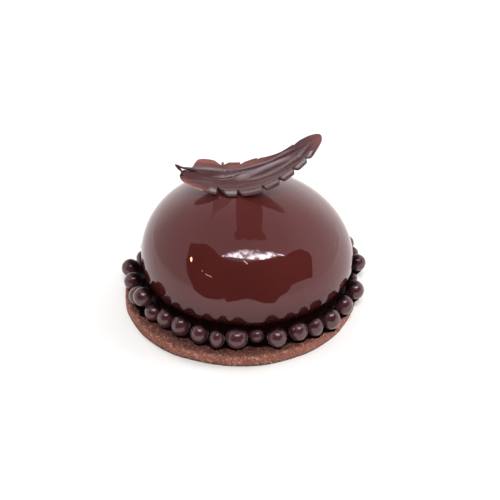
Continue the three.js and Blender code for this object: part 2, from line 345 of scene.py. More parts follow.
CEILING_CARD = [
    (-0.050, 1.00), (-0.071, -0.029), (-0.116, -0.054), (-0.108, -0.213), (-0.030, -0.228), (0.040, -0.190),
    (0.110, -0.236), (0.190, -0.185), (0.270, -0.212), (0.378, -0.171), (0.371, -0.105), (0.303, 0.037),
    (0.322, 0.520), (0.292, 1.00),
]
flat_card("ceiling flag", CEILING_CARD, CEILING, dusk)
CEILING_WEDGE = [
    (-0.421, 0.972), (-0.419, 0.485), (-0.481, 0.250), (-0.377, 0.466), (-0.188, 0.594), (-0.072, 0.878),
]
flat_card("ceiling wedge", CEILING_WEDGE, CEILING, shade)

# %% [markdown]
# The window is brightest in its middle and at a few places along it, and its upper edge fades,
# so its picture in the glaze has a ragged white core and a soft rim. A few small lamps in the
# dark part of the room give the glaze its sparks.

# %% Hang the window and the lamps
WINDOW_FAINT, WINDOW_BRIGHT = 5.0, 26.0
WINDOW = [
    (-35, 55.2, 55.8), (-28, 56.2, 61), (-22, 57.5, 64.7), (-8, 58.2, 67.8), (15, 56.4, 68.5),
    (30, 53.6, 66.5), (45, 52.4, 61), (52, 51.3, 57.5), (57, 49.6, 52.5), (62, 46.9, 47.5),
]


def window_glow():
    """Noise cells of a tenth of a metre mix the faint and bright strengths; the strength
    falls to an eighth over the upper half."""
    material, tree = new_material("bright window")
    place = add_node(tree, "TexCoord").outputs["Object"]
    panes = add_node(tree, "TexNoise", Vector=place, Scale=11.0, Detail=3.0)
    mix = add_node(tree, "MapRange", i0=panes, i1=0.42, i2=0.56, i3=WINDOW_FAINT, i4=WINDOW_BRIGHT)
    rise = add_node(tree, "Attribute", {"attribute_name": "rise"}).outputs["Fac"]
    fade = add_node(tree, "MapRange", i0=rise, i1=0.45, i3=1.0, i4=0.12)
    strength = add_node(tree, "Math", MULTIPLY, i0=mix, i1=fade)
    shader = add_node(tree, "Emission", Color=linear("#e6fcff"), Strength=strength)
    add_node(tree, "OutputMaterial", Surface=shader)
    return material


sky_patch("window", WINDOW, window_glow(), radius=1.08)
warm_lamp = glow_material("warm lamp", "#ffd9a0", 34.0)
dim_lamp = glow_material("dim lamp", "#ffc08a", 11.0)
white_lamp = glow_material("white lamp", "#ffe9e6", 14.0)
LAMPS = {
    "left lamp": ([(-70.0, 33.6, 36.4), (-66.5, 30.8, 33.6)], warm_lamp),
    "left spark": ([(-50.0, 28.3, 29.4), (-48.2, 27.8, 28.9)], dim_lamp),
    "left streak": ([(-44.5, 26.0, 26.8), (-36.5, 24.4, 25.7)], dim_lamp),
    "lamp under window": ([(1.0, 54.2, 56.4), (5.5, 50.8, 52.4)], white_lamp),
}
for lamp_name, (edges, lamp_material) in LAMPS.items():
    sky_patch(lamp_name, edges, lamp_material, radius=1.05, columns=8, rows=3)

# %% [markdown]
# ## Surfaces from arrays
#
# Every new piece is a grid of points worked out with numpy, so a shape is one formula and not
# a pile of edits. One helper closes a turned shape, one makes a piece of points and faces, one
# gives soft natural randomness, two are curves that come back in every formula, and two go
# round an upright axis.

# %% Mesh helpers


def closed_turn(rings, bottom, top):
    """Points and faces of a closed shape made of rings (rows, columns, 3) between a bottom
    and a top point, each of which is joined to its ring by a fan of triangles."""
    rows, columns = rings.shape[:2]
    points = np.concatenate([rings.reshape(-1, 3), [bottom], [top]])
    pole, last = rows * columns, (rows - 1) * columns
    j = np.arange(columns)
    k = (j + 1) % columns
    faces = grid_faces(rows, columns).tolist()
    faces += np.stack([k, j, np.full(columns, pole)], axis=-1).tolist()
    faces += np.stack([j + last, k + last, np.full(columns, pole + 1)], axis=-1).tolist()
    return points, faces


def make_piece(name, points_mm, faces, material):
    """A smooth-shaded object at the origin, its place in its mesh, in metres."""
    piece = new_object(name, (np.asarray(points_mm) * MM).tolist(), faces, material)
    piece.data.shade_smooth()
    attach(piece, "root")
    return piece


def soft_noise(points, cell, seed):
    """Value noise from -1 to 1: random numbers sit on the corners of cubes of side `cell`,
    and a point takes the smoothed mix of the eight corners round it."""
    table = np.random.default_rng(seed).uniform(-1.0, 1.0, 4096)
    scaled = np.asarray(points) / cell
    whole = np.floor(scaled).astype(np.int64)
    f = scaled - whole
    f = f * f * (3.0 - 2.0 * f)
    total = np.zeros(scaled.shape[:-1])
    for corner in range(8):
        bits = np.array([corner & 1, (corner >> 1) & 1, (corner >> 2) & 1])
        ix, iy, iz = np.moveaxis(whole + bits, -1, 0)
        value = table[(ix * 73856093 ^ iy * 19349663 ^ iz * 83492791) & 4095]
        weight = np.prod(np.where(bits, f, 1.0 - f), axis=-1)
        total += value * weight
    return total


def ease(value, low, high):
    """0 below low, 1 above high, and a smooth step between."""
    t = np.clip((value - low) / (high - low), 0.0, 1.0)
    return t * t * (3.0 - 2.0 * t)


def bell(value, middle, width):
    """A bell curve, 1 at its middle and 1/e at one width from it."""
    return np.exp(-(((value - middle) / width) ** 2))


def full_turn(columns):
    """Evenly spaced angles once round."""
    return np.linspace(0.0, 2 * np.pi, columns, endpoint=False)


def polar(radii, around, heights):
    """Points at the given radii, angles and heights."""
    return np.stack([radii * np.cos(around), radii * np.sin(around), heights], axis=-1)


# %% [markdown]
# ## The mirror glaze
#
# Cocoa, cream, sugar syrup and gelatine are boiled together and poured over the frozen dome.
# They set to a wet, glassy skin over dark brown. So the base is a deep red-brown, the surface
# is almost a perfect mirror with a refractive index a little over that of sugar syrup, and a
# bump of a few thousandths of a millimetre gives the slow ripple that poured glaze has. A few
# air bubbles stay as pin holes. Low on the dome the colour goes nearly black: painted shade.

# %% Mix the glaze
# The last brown is a painted shade: the dome's foot, the pool and the pearls' dome sides take it.
GLAZE_BASE, GLAZE_DEEP, GLAZE_SHADE_BROWN = "#562522", "#4a1d1b", "#12080a"
GLAZE_TINT = "#ffdde3"
SHADE_FULL_BELOW, SHADE_GONE_ABOVE = 6.0 * MM, 17.0 * MM


def mirror_glaze(name, light, dark, roughness, ior):
    """The two browns mix in soft clouds, and toward the foot both go over to a near-black painted
    shade. The pin holes are the middles of a few Voronoi cells."""
    material, tree = new_material(name)
    place = add_node(tree, "TexCoord").outputs["Object"]
    cloud = add_node(tree, "TexNoise", Vector=place, Scale=70.0, Detail=3.0)
    clouded = add_node(tree, "Mix", RGBA, i0=cloud, i6=linear(light), i7=linear(dark))
    # Painted shade low on the dome: near black below the first height, the clouds above the second.
    height = add_node(tree, "SeparateXYZ", Vector=place).outputs["Z"]
    thin = add_node(tree, "MapRange", i0=height, i1=SHADE_FULL_BELOW, i2=SHADE_GONE_ABOVE)
    tint = add_node(tree, "Mix", RGBA, i0=thin, i6=linear(GLAZE_SHADE_BROWN), i7=clouded)
    ripple = add_node(tree, "TexNoise", Vector=place, Scale=260.0, Detail=2.0)
    bubbles = add_node(tree, "TexVoronoi", Vector=place, Scale=420.0)
    pin_holes = add_node(tree, "MapRange", i0=bubbles, i1=0.02, i2=0.09, i3=-1.0, i4=0.0)
    rare = add_node(tree, "SeparateXYZ", Vector=bubbles.outputs["Color"])
    few = add_node(tree, "Math", {"operation": "GREATER_THAN"}, i0=rare, i1=0.95)
    holes = add_node(tree, "Math", MULTIPLY, i0=pin_holes, i1=few)
    slow = add_node(tree, "Bump", Height=ripple, Strength=0.05, Distance=0.0004)
    fine = add_node(tree, "Bump", Height=holes, Normal=slow, Strength=0.6, Distance=0.0002)
    shader = add_node(tree, "BsdfPrincipled", Base_Color=tint, Specular_Tint=linear(GLAZE_TINT), Normal=fine,
                      Roughness=roughness, IOR=ior)
    add_node(tree, "OutputMaterial", Surface=shader)
    return material


glaze = mirror_glaze("mirror glaze", GLAZE_BASE, GLAZE_DEEP, roughness=0.035, ior=1.62)
# The pool's glaze is the near-black painted shade all over, and hardly reflects.
shaded_pool_glaze = mirror_glaze("thick mirror glaze", GLAZE_SHADE_BROWN, GLAZE_SHADE_BROWN, roughness=0.12, ior=1.09)
print("glazes:", glaze.name, "and", shaded_pool_glaze.name)

# %% [markdown]
# ## The dome
#
# The mould is a half sphere, a little flatter than a ball. Above its widest ring the outline
# is a superellipse: radius R cos(t)^(2/n), rise H sin(t)^(2/n). Below, the side stays upright
# down to just over the pearls' tops and draws in behind them, and at the foot the glaze has
# run out against the pearls. The top leans a little, and the skin swells and sinks by a few
# hundredths of a millimetre, which bends the reflections as a poured skin does.

# %% Measure the ring of pearls
DOME_X, DOME_Y = 2.58, 3.0
DOME_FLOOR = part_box("glazed_mousse")[0].z / MM
pearl_nodes = sorted(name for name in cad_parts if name.startswith("chocolate_pearl_"))


def pearl_places():
    """Directions, distances, half widths and tops of the pearls as seen from the middle of
    the dome's foot, sorted by direction."""
    corners = np.array([[tuple(corner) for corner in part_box(node)] for node in pearl_nodes]) / MM
    middles = corners.mean(axis=1)[:, :2] - (DOME_X, DOME_Y)
    directions = np.arctan2(middles[:, 1], middles[:, 0]) % (2 * np.pi)
    order = np.argsort(directions)
    half_widths = (corners[:, 1, 0] - corners[:, 0, 0]) / 2
    tops = corners[:, 1, 2] - DOME_FLOOR
    return directions[order], np.linalg.norm(middles, axis=1)[order], half_widths[order], tops[order]


def round_dome(around, values):
    """A value for each pearl as a smooth line round the dome."""
    line = np.interp(around, PEARL_DIRECTIONS, values, period=2 * np.pi)
    width = len(around) // 60
    window = np.hanning(2 * width + 1)
    padded = np.concatenate([line[-width:], line, line[:width]])
    return np.convolve(padded, window / window.sum(), mode="valid")


PEARL_DIRECTIONS, PEARL_DISTANCES, PEARL_HALVES, PEARL_TOPS = pearl_places()
print("pearls round the dome:", len(PEARL_DIRECTIONS))

# %% Shape the dome
DOME_RADIUS = 36.1
DOME_WIDEST = 10.2
DOME_CROWN = 26.95
DOME_FULLNESS = 1.96
DOME_TUCK = 1.7
TUCK_LOW, TUCK_OVER = 2.4, 2.0
FIRST_LAYER = 6.4
DOME_LEAN = -0.084
SKIRT_HEIGHT = 5.0
SKIRT_MOST = 0.45


def foot_radius(height, around):
    """R, less the tuck times a smooth step: the side stays upright down to a little over the
    pearls' tops, no higher than those of the first layer, and draws in behind them."""
    high = round_dome(around, np.minimum(PEARL_TOPS, FIRST_LAYER)) + TUCK_OVER
    return DOME_RADIUS - DOME_TUCK * (1.0 - ease(height, TUCK_LOW, high))


def glaze_skirt(around):
    """How far the glaze runs out at the foot: to just short of the pearls' inner sides, but
    no more than the most."""
    room = np.clip(PEARL_DISTANCES - PEARL_HALVES - DOME_RADIUS + DOME_TUCK - 0.2, 0.0, SKIRT_MOST)
    return round_dome(around, room)


def dome_profile(around):
    """Radii and heights from the foot to just under the top, for each direction."""
    low = DOME_WIDEST * np.linspace(0.02, 1.0, 36)[:-1, None] + 0 * around
    turn = np.radians(np.concatenate([np.linspace(0.0, 84.0, 84), np.linspace(85.0, 89.6, 10)]))
    turn = turn[:, None] + 0 * around
    radii = np.concatenate([foot_radius(low, around), DOME_RADIUS * np.cos(turn) ** (2 / DOME_FULLNESS)])
    heights = np.concatenate([low, DOME_WIDEST + DOME_CROWN * np.sin(turn) ** (2 / DOME_FULLNESS)])
    return radii, heights


def make_dome(columns=320):
    """The profile carried round, moved along its own outward direction by the swell, then
    out at the foot by the skirt and a small bead, and sideways above the widest ring."""
    around = full_turn(columns)
    radii, z = dome_profile(around)
    rings = polar(radii, around, z)
    outward = (rings - (0.0, 0.0, DOME_WIDEST)) / (DOME_RADIUS**2, DOME_RADIUS**2, DOME_CROWN**2)
    outward /= np.linalg.norm(outward, axis=-1, keepdims=True)
    swell = 0.05 * soft_noise(rings, 17.0, 11) + 0.012 * soft_noise(rings, 5.0, 12) - 0.05
    rings += outward * swell[..., None] * ease(z, 0.0, 3.0)[..., None]
    run_out = glaze_skirt(around) * (1.0 - ease(z, 1.5, SKIRT_HEIGHT))
    run_out += 0.4 * bell(z, 0.0, 0.8) * (1.0 + 0.6 * soft_noise(rings, 4.0, 13))
    rings += polar(run_out, around, 0 * z) + (DOME_X, DOME_Y, 0.0)
    rings[..., 0] += DOME_LEAN * np.clip(rings[..., 2] - DOME_WIDEST, 0.0, None)
    rings[..., 2] += DOME_FLOOR
    top_height = DOME_WIDEST + DOME_CROWN - 0.05
    bottom = (DOME_X, DOME_Y, DOME_FLOOR)
    top = (DOME_X + DOME_LEAN * DOME_CROWN, DOME_Y, DOME_FLOOR + top_height)
    dome = make_piece("mousse_dome", *closed_turn(rings, bottom, top), glaze)
    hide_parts("glazed_mousse")
    return dome


dome = make_dome()
print("dome points:", len(dome.data.vertices))

# %% [markdown]
# ## The pool of glaze
#
# The glaze that ran off the dome stopped at the ring of pearls and holds them. It is a flat
# ring that climbs a little at the dome's foot, near black all over as painted shade between
# the dome and the pearls. Its outer edge runs from pearl to pearl at their middles and bulges
# round each one, so a painted shadow shows under it.

# %% Pour the pool
POOL_DEPTH = 0.22
POOL_CLIMB = 0.9
biscuit_low, biscuit_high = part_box("cocoa_biscuit")
BISCUIT_THICKNESS = (biscuit_high.z - biscuit_low.z) / MM


def make_pool(columns=900, rows=16):
    """Round the dome, the reach is the pearls' distance, in straight lines from each to the
    next, plus a bell round each pearl. Across, the height is the depth plus a climb that dies
    away from the foot, rounded down to nothing at the outer edge."""
    around = full_turn(columns)
    reach = np.interp(around, PEARL_DIRECTIONS, PEARL_DISTANCES, period=2 * np.pi)
    apart = np.abs((around[:, None] - PEARL_DIRECTIONS + np.pi) % (2 * np.pi) - np.pi).min(axis=1)
    # The bulge round each pearl carries a painted shadow under it.
    reach += 1.6 * bell(apart * reach, 0.0, 2.3) + 0.1
    ring = polar(40, around, 0 * around)
    reach += 0.35 * soft_noise(ring, 3.0, 15)
    inner = DOME_RADIUS - DOME_TUCK + glaze_skirt(around) - 0.6
    share = np.sin(np.linspace(0.0, np.pi / 2, rows))[::-1, None]
    radius = inner + (reach - inner) * share
    climb = POOL_CLIMB * np.exp(-np.clip(radius - inner - 0.9, 0.0, None) / 0.9)
    top = BISCUIT_THICKNESS + (POOL_DEPTH + climb) * np.sqrt(1.0 - share**12)
    top += 0.05 * soft_noise(ring, 2.0, 16) * (1 - share)
    under = np.full_like(top, BISCUIT_THICKNESS - 0.12)
    radii = np.concatenate([radius[::-1], radius])
    heights = np.concatenate([under[::-1], top])
    points = polar(radii, around, heights) + (DOME_X, DOME_Y, 0.0)
    faces = grid_faces(2 * rows, columns, closed=True)
    pool = make_piece("glaze_pool", points.reshape(-1, 3), faces.tolist(), shaded_pool_glaze)
    return pool


pool = make_pool()
print("pool points:", len(pool.data.vertices))

# %% [markdown]
# ## The biscuit
#
# Cocoa shortbread is rolled out, cut with a ring and baked on a mat. It stays flat and sharp
# below, its upper rim is a little rounded, and its sandy crumb shows everywhere: grains of
# about half a millimetre with small pits between, and a few crystals of sugar. The top carries
# a painted shade and the foot a painted shadow, so the cut side looks paler. The disc is one
# turned profile whose points are moved in and out by noise at three scales.

# %% Bake the biscuit crust
CRUST, CRUST_WARM = "#8b5344", "#9b6150"
CRUST_GRAIN, CRUST_DARK = "#cf9884", "#4c2820"
# Painted shade for the top and a painted shadow for the foot.
CRUST_TOP_SHADE, CRUST_FOOT_SHADOW = "#3d1c1a", "#2e1713"


def cocoa_shortbread():
    """Warm patches lie in the brown, a painted shadow darkens the foot and a painted shade the
    top, less so toward its rim, and each grain is a Voronoi cell that is pale, dark or shiny by
    chance; pale grains are fewer on the shaded top. The crumb is drawn a little coarser than the
    real one, so that it shows."""
    material, tree = new_material("baked cocoa shortbread")
    place = add_node(tree, "TexCoord").outputs["Object"]
    blush = add_node(tree, "TexNoise", Vector=place, Scale=170.0, Detail=4.0)
    patch = add_node(tree, "MapRange", i0=blush, i1=0.38, i2=0.62)
    height = add_node(tree, "SeparateXYZ", Vector=place).outputs["Z"]
    edge = add_node(tree, "Math", {"operation": "MULTIPLY_ADD"}, i0=blush, i1=0.0008, i2=height)
    # Painted shadow along the foot.
    foot = add_node(tree, "MapRange", i0=edge, i1=0.0007, i2=0.0013, i3=0.9, i4=0.0)
    # Painted shade on the top, a quarter less at its rim.
    up_there = add_node(tree, "MapRange", i0=edge, i1=0.0038, i2=0.0044)
    flat = add_node(tree, "VectorMath", MULTIPLY, i0=place, i1=(1.0, 1.0, 0.0))
    radius = add_node(tree, "VectorMath", {"operation": "LENGTH"}, i0=flat)
    inner = add_node(tree, "MapRange", i0=radius, i1=0.0370, i2=0.0402, i3=1.0, i4=0.75)
    on_top = add_node(tree, "Math", MULTIPLY, i0=up_there, i1=inner)
    grains = add_node(tree, "TexVoronoi", Vector=place, Scale=2500.0)
    speck = add_node(tree, "SeparateXYZ", Vector=grains.outputs["Color"])
    # Fewer pale grains where the top has painted shade.
    most = add_node(tree, "MapRange", i0=on_top, i3=0.85, i4=0.35)
    pale = add_node(tree, "MapRange", i0=speck, i1=0.74, i4=most)
    dark = add_node(tree, "MapRange", i0=speck.outputs["Y"], i1=0.70, i4=0.7)
    colour = linear(CRUST)
    for share, brown in ((patch, CRUST_WARM), (foot, CRUST_FOOT_SHADOW), (on_top, CRUST_TOP_SHADE), (pale, CRUST_GRAIN),
                         (dark, CRUST_DARK)):
        colour = add_node(tree, "Mix", RGBA, i0=share, i6=colour, i7=linear(brown))
    sugar = add_node(tree, "MapRange", i0=speck.outputs["Z"], i1=0.93, i2=0.95, i3=0.85, i4=0.25)
    sand = add_node(tree, "TexNoise", Vector=place, Scale=2200.0, Detail=3.0)
    coarse = add_node(tree, "Bump", Height=grains, Strength=0.5, Distance=0.0003)
    bump = add_node(tree, "Bump", Height=sand, Normal=coarse, Strength=0.7, Distance=0.0002)
    shader = add_node(tree, "BsdfPrincipled", Base_Color=colour, Roughness=sugar, IOR=1.45, Normal=bump)
    add_node(tree, "OutputMaterial", Surface=shader)
    return material


shortbread = cocoa_shortbread()
print("crust:", shortbread.name)

# %% Cut the biscuit
BISCUIT_RADIUS = 39.9
BISCUIT_BACK_SPREAD, BISCUIT_FRONT_SPREAD = 3.0, 0.5
BISCUIT_WAVE = 0.12
RIM_ROUND = 1.1
RELIEF_FROM, RELIEF_TO = 30.0, 33.0


def biscuit_reach(angle):
    """The circle of the cutter, a spread at back and front as the square of the sine, and a
    slow wave of three sines."""
    away = np.sin(angle)
    spread = np.where(away > 0, BISCUIT_BACK_SPREAD, BISCUIT_FRONT_SPREAD) * away**2
    wave = np.sin(5 * angle + 1.1) + 0.7 * np.sin(9 * angle + 2.6) + 0.4 * np.sin(17 * angle)
    return BISCUIT_RADIUS + spread + BISCUIT_WAVE * wave


def biscuit_profile():
    """Radii and heights: the flat underside, the side, the round upper rim, and the top in
    to the middle."""
    r, t, q = BISCUIT_RADIUS, BISCUIT_THICKNESS, RIM_ROUND
    under = [(r * 0.5, 0.0), (r - 1.5, 0.0), (r - 0.35, 0.02), (r - 0.1, 0.15)]
    side = [(r - 0.05 * (h / t), h) for h in np.linspace(0.35, t - q, 10)]
    turns = np.radians(np.linspace(10, 90, 9))
    rim = [(r - 1.15 + q * math.cos(a), t - q + q * math.sin(a)) for a in turns]
    top = [(x, t) for x in (*np.linspace(r - 1.5, 27.0, 40), 22.0, 14.0, 6.0)]
    return np.array(under + side + rim + top)


def make_biscuit(columns=840):
    """The profile carried round, stretched to the reach, with crumb and pits on its side and
    on the part of its top that shows. The relief goes inward alone on the top."""
    profile = biscuit_profile()
    around = full_turn(columns)
    radii = profile[:, :1] * (biscuit_reach(around) / BISCUIT_RADIUS)
    z = np.repeat(profile[:, 1:], columns, axis=1)
    rings = polar(radii, around, z)
    crumb = 0.12 * soft_noise(rings, 1.6, 21) + 0.11 * soft_noise(rings, 0.8, 22)
    crumb += 0.06 * soft_noise(rings, 0.45, 23)
    pits = -0.35 * ease(soft_noise(rings, 1.1, 24), 0.45, 0.8)
    relief = np.minimum(crumb + pits - 0.12, 0.06)
    on_side = ease(radii, BISCUIT_RADIUS - 1.6, BISCUIT_RADIUS - 0.4) * ease(z, 0.02, 0.4)
    on_top = ease(z, BISCUIT_THICKNESS - 1.0, BISCUIT_THICKNESS) * ease(radii, RELIEF_FROM, RELIEF_TO)
    rings += polar(relief * on_side, around, np.minimum(relief, 0.0) * on_top)
    points, faces = closed_turn(rings, (0.0, 0.0, 0.0), (0.0, 0.0, BISCUIT_THICKNESS))
    biscuit = make_piece("shortbread_disc", points, faces, shortbread)
    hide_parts("cocoa_biscuit")
    return biscuit


biscuit = make_biscuit()
print("biscuit points:", len(biscuit.data.vertices))

# %% [markdown]
# ## The pearls
#
# Crisp cereal balls are tumbled in dark chocolate and polished, so they are never quite
# round: shallow flats and dents catch the light. The shell is a glossy dark brown with a
# little red in it, and faint scuffs make its gloss uneven. On the side of each pearl that
# faces the dome and up, a painted shade makes it near black, and there it hardly shines.

# %% Polish the pearl shell
PEARL_SHELL, PEARL_SHELL_DARK = "#502b31", "#3c1f25"
PEARL_BLOOM = "#e8d4d8"
CHOCOLATE_TINT = "#ffe6e3"


def polished_shell():
    """Two browns in clouds, an uneven gloss, and a near-black painted shade with little shine
    where the pearl's own attribute says it faces the dome. The sockets of index and sheen also
    keep a middle value of their own, for a model that has lost the links."""
    material, tree = new_material("polished chocolate shell")
    place = add_node(tree, "TexCoord").outputs["Object"]
    cloud = add_node(tree, "TexNoise", Vector=place, Scale=420.0, Detail=3.0)
    # Painted shade on the side facing the dome: near black, a low index and no sheen.
    wet = add_node(tree, "Attribute", {"attribute_name": "wet"}).outputs["Fac"]
    colour = linear(PEARL_SHELL_DARK)
    for share, brown in ((cloud, PEARL_SHELL), (wet, GLAZE_SHADE_BROWN)):
        colour = add_node(tree, "Mix", RGBA, i0=share, i6=colour, i7=linear(brown))
    scuff = add_node(tree, "MapRange", i0=cloud, i1=0.3, i2=0.7, i3=0.13, i4=0.30)
    gloss = add_node(tree, "MapRange", i0=wet, i3=1.75, i4=1.25)
    bloom = add_node(tree, "MapRange", i0=wet, i3=0.32, i4=0.0)
    grain = add_node(tree, "TexNoise", Vector=place, Scale=1100.0, Detail=3.0)
    bump = add_node(tree, "Bump", Height=grain, Strength=0.16, Distance=0.0003)
    shader = add_node(tree, "BsdfPrincipled", Base_Color=colour, Roughness=scuff, IOR=gloss, Normal=bump,
                      Specular_Tint=linear(CHOCOLATE_TINT), Sheen_Weight=bloom, Sheen_Roughness=0.28,
                      Sheen_Tint=linear(PEARL_BLOOM))
    shader.inputs["IOR"].default_value = 1.6
    shader.inputs["Sheen Weight"].default_value = 0.15
    add_node(tree, "OutputMaterial", Surface=shader)
    return material


pearl_shell = polished_shell()
print("shell:", pearl_shell.name)

# %% Roll the pearls
# The painted shade faces inward and up; it starts at the first share and is full at the second.
SHADE_INWARD, SHADE_UPWARD = 0.75, 0.66
SHADE_FROM, SHADE_TO = 0.20, 0.75


def dome_shade_share(ball, place, middle):
    """How much painted shade the pearl takes: most where the surface looks inward to the dome and
    up, with a ragged edge."""
    inward = np.array((DOME_X, DOME_Y)) - middle[:2]
    inward = SHADE_INWARD * inward / np.linalg.norm(inward)
    facing = ball @ np.array((*inward, SHADE_UPWARD)) + 0.15 * soft_noise(place, 1.6, 33)
    return ease(facing, SHADE_FROM, SHADE_TO)


def make_pearl(node, columns=44, rows=28):
    """A ball whose three half sizes are those of its solid, with dents less than a tenth of a
    radius deep."""
    low, high = (np.array(corner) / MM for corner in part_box(node))
    middle, half = (low + high) / 2, (high - low) / 2
    down = np.linspace(0.0, np.pi, rows + 2)[1:-1][::-1, None]
    around = full_turn(columns)
    ball = polar(np.sin(down), around, np.cos(down) + 0 * around)
    place = middle + ball * half
    dents = 0.045 * soft_noise(place, 3.2, 31) + 0.016 * soft_noise(place, 1.3, 32)
    rings = middle + ball * half * (1.0 + np.minimum(dents - 0.004, 0.0))[..., None]
    pole = (0.0, 0.0, half[2] * 0.995)
    points, faces = closed_turn(rings, middle - pole, middle + pole)
    pearl = make_piece(node.replace("chocolate_", ""), points, faces, pearl_shell)
    # Painted shade on the side toward the dome.
    wet = dome_shade_share(ball, place, middle)
    paint_points(pearl, "wet", np.concatenate([wet.reshape(-1), [0.0], [wet[-1].mean()]]))
    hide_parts(node)
    return pearl


pearls = [make_pearl(node) for node in pearl_nodes]
print("pearls:", len(pearls))

# %% [markdown]
# ## The feather
#
# A knife is dipped in tempered chocolate, laid on a strip of acetate and drawn away. It
# leaves a leaf with a ridge where the back of the blade was, fine lines along it, a thick
# front lip that rolls over, and a back edge as thin as paper, where the light that comes
# through is painted red. The strip is laid in a curved mould to set, and a warm blade nicks the edges.
#
# The leaf is a grid: one direction runs along the spine, a Bezier curve, and the other runs
# across it on an arc. The nicks are taken off its width and the ridges are added to its upper
# face.

# %% Temper the chocolate
FEATHER_DARK, FEATHER_BROWN = "#472b2d", "#59383a"
# Painted light: a red glow and a pale rim glow where light comes through the leaf.
FEATHER_GLOW_RED, FEATHER_RIM_GLOW = "#905750", "#cba39a"
# Painted shade in the grooves and painted sheen on the crests.
FEATHER_GROOVE_SHADE, FEATHER_PAINTED_SHEEN = "#211113", "#96868b"


def tempered_chocolate():
    """Two browns in clouds go over to a painted red glow where light comes through the leaf, to a
    painted pale glow at its rim, to near-black painted shade in the grooves and to a grey
    painted sheen on the crests. The leaf's own attributes say where."""
    material, tree = new_material("tempered chocolate")
    place = add_node(tree, "TexCoord").outputs["Object"]
    cloud = add_node(tree, "TexNoise", Vector=place, Scale=220.0, Detail=4.0)
    # Painted light through the leaf.
    thin = add_node(tree, "Attribute", {"attribute_name": "thin"}).outputs["Fac"]
    red = add_node(tree, "MapRange", i0=thin, i2=0.8)
    rim = add_node(tree, "MapRange", i0=thin, i1=0.8)
    # Painted shade toward -1 and painted sheen toward 1.
    tone = add_node(tree, "Attribute", {"attribute_name": "tone"}).outputs["Fac"]
    deep = add_node(tree, "MapRange", i0=tone, i1=-1.0, i2=0.0, i3=1.0, i4=0.0)
    painted_sheen = add_node(tree, "MapRange", i0=tone)
    colour = linear(FEATHER_DARK)
    for share, next_colour in ((cloud, FEATHER_BROWN), (red, FEATHER_GLOW_RED), (rim, FEATHER_RIM_GLOW),
                               (deep, FEATHER_GROOVE_SHADE), (painted_sheen, FEATHER_PAINTED_SHEEN)):
        colour = add_node(tree, "Mix", RGBA, i0=share, i6=colour, i7=linear(next_colour))
    silk = add_node(tree, "MapRange", i0=cloud, i1=0.3, i2=0.7, i3=0.24, i4=0.34)
    grain = add_node(tree, "TexNoise", Vector=place, Scale=1300.0, Detail=3.0)
    bump = add_node(tree, "Bump", Height=grain, Strength=0.10, Distance=0.0002)
    shader = add_node(tree, "BsdfPrincipled", Base_Color=colour, Roughness=silk, IOR=1.5, Normal=bump,
                      Specular_Tint=linear(CHOCOLATE_TINT))
    add_node(tree, "OutputMaterial", Surface=shader)
    return material


feather_chocolate = tempered_chocolate()
print("chocolate:", feather_chocolate.name)

# %% Draw the feather's outline
SPINE = np.array([(-17.8, 4.6, 45.55), (-1.2, 4.6, 44.55), (0.2, 4.6, 40.65), (26.6, 4.6, 57.05)])
FEATHER_LENGTH = 47.5
FRONT_WIDTHS = np.array([2.8, 6.3, 8.4, 9.3, 10.1, 10.4, 10.9, 11.2, 10.8, 9.8, 8.4, 6.4])
BACK_WIDTHS = np.array([0.2, 4.3, 4.9, 4.3, 4.0, 3.8, 3.5, 3.7, 2.7, 2.2, 3.3, 4.6])
# The shares of the length between which the back edge swings out from the spine.
SHOULDER = (0.02, 0.095)
EDGE_LEAST = 0.04
FEATHER_TILT = math.radians(24.0)
FEATHER_CURL = math.radians(1.6)
ROOT_LEAN, ROOT_POWER = 0.9, 8
ROOT_ROUND, TIP_ROUND = 40, 12
# Each nick: share of the length at its steep side, depth, and width toward the tip in
# millimetres, or toward the root if less than 0.
FRONT_NICKS = [
    (0.284, 2.6, 4.4), (0.458, 1.6, 2.2), (0.656, 1.8, 1.4), (0.765, 1.7, 1.4), (0.85, 1.5, 1.3),
    (0.917, 1.6, 1.2),
]
BACK_NICKS = [(0.306, 1.2, -3.0), (0.336, 1.0, 2.3), (0.507, 0.8, 2.2), (0.66, 0.4, 1.4), (0.885, 0.5, 1.4)]
NICK_WALL = 0.004


def along_stations(stations, share):
    """A Catmull-Rom curve through evenly spaced values: smooth, and through each of them."""
    last = len(stations) - 1
    place = np.clip(share, 0.0, 1.0) * last
    i = np.minimum(place.astype(int), last - 1)
    f = place - i
    padded = np.concatenate([[2 * stations[0] - stations[1]], stations, [2 * stations[-1] - stations[-2]]])
    before, here, after, beyond = padded[i], padded[i + 1], padded[i + 2], padded[i + 3]
    square = 2 * before - 5 * here + 4 * after - beyond
    cube = 3 * here - before - 3 * after + beyond
    return 0.5 * (2 * here + (after - before) * f + square * f**2 + cube * f**3)


def nick_depth(nicks, share):
    """Each nick drops to its depth over a steep wall, then comes back as (1 - x)^1.1."""
    depth = np.zeros_like(share)
    for at, deep, wide in nicks:
        away = (share - at) * math.copysign(1.0, wide)
        into = away * FEATHER_LENGTH / abs(wide)
        depth += deep * ease(away, -NICK_WALL, 0.0) * (1.0 - np.clip(into, 0.0, 1.0)) ** 1.1
    return depth


def feather_width(stations, nicks, share):
    """The smooth width, less the nicks, times a rounding that closes both ends."""
    rounding = np.sqrt(np.clip(1 - share**TIP_ROUND, 0, 1) * np.clip(1 - (1 - share) ** ROOT_ROUND, 0, 1))
    return np.maximum((along_stations(stations, share) - nick_depth(nicks, share)) * rounding, EDGE_LEAST)


# %% Bend the leaf over the crown


